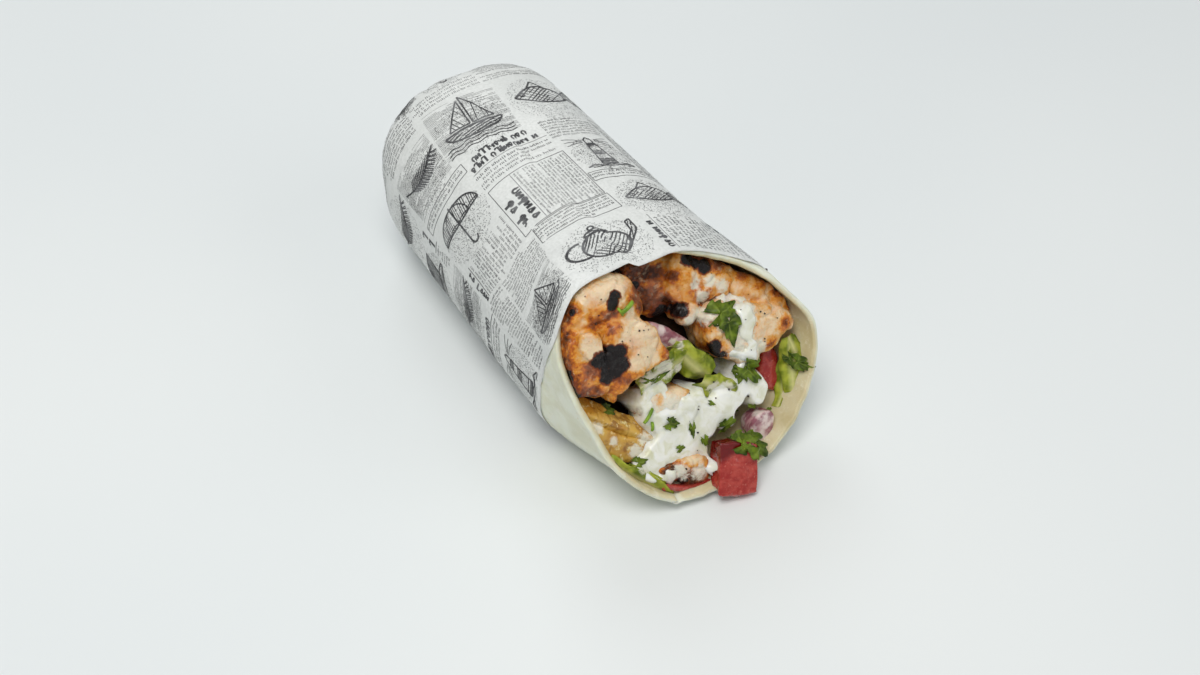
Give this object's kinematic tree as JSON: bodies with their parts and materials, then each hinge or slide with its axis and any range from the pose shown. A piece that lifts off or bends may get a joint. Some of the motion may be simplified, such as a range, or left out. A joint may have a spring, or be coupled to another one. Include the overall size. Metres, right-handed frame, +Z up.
{
  "type": "souvlaki pita",
  "caption": "Rolled flatbread in a printed paper sleeve, lying on its side, its slanted open end showing grilled chicken, chips, salad and white sauce.",
  "frame": {"origin": "centre of the bounding box at the level of the flat underside of the paper", "axes": "+Z up; +Y along the wrap from the open mouth to the closed back end; +X to the side of the mouth that flares out wider"},
  "size_m": [0.0894, 0.1761, 0.0742],
  "materials": {
    "paper": "matt printed food paper",
    "flatbread": "soft pale bread, matt",
    "filling": "dark moist filling",
    "chicken": "grilled chicken, moist",
    "potato": "fried potato, slightly oily",
    "tomato": "cut tomato, wet",
    "onion": "red onion, wet",
    "lettuce": "leaf, slightly glossy",
    "sauce": "thick white yogurt sauce, glossy"
  },
  "bodies": {
    "root": {"paper_wrap": "paper", "flatbread": "flatbread", "filling_core": "filling", "chicken_left": "chicken", "chicken_top": "chicken", "chicken_right": "chicken", "chicken_middle": "chicken", "chicken_low": "chicken", "fry_upper": "potato", "fry_lower": "potato", "tomato_front": "tomato", "tomato_right": "tomato", "tomato_strip": "tomato", "onion_centre": "onion", "onion_right": "onion", "lettuce_centre": "lettuce", "lettuce_left": "lettuce", "lettuce_right": "lettuce", "sauce": "sauce"}
  },
  "joints": []
}
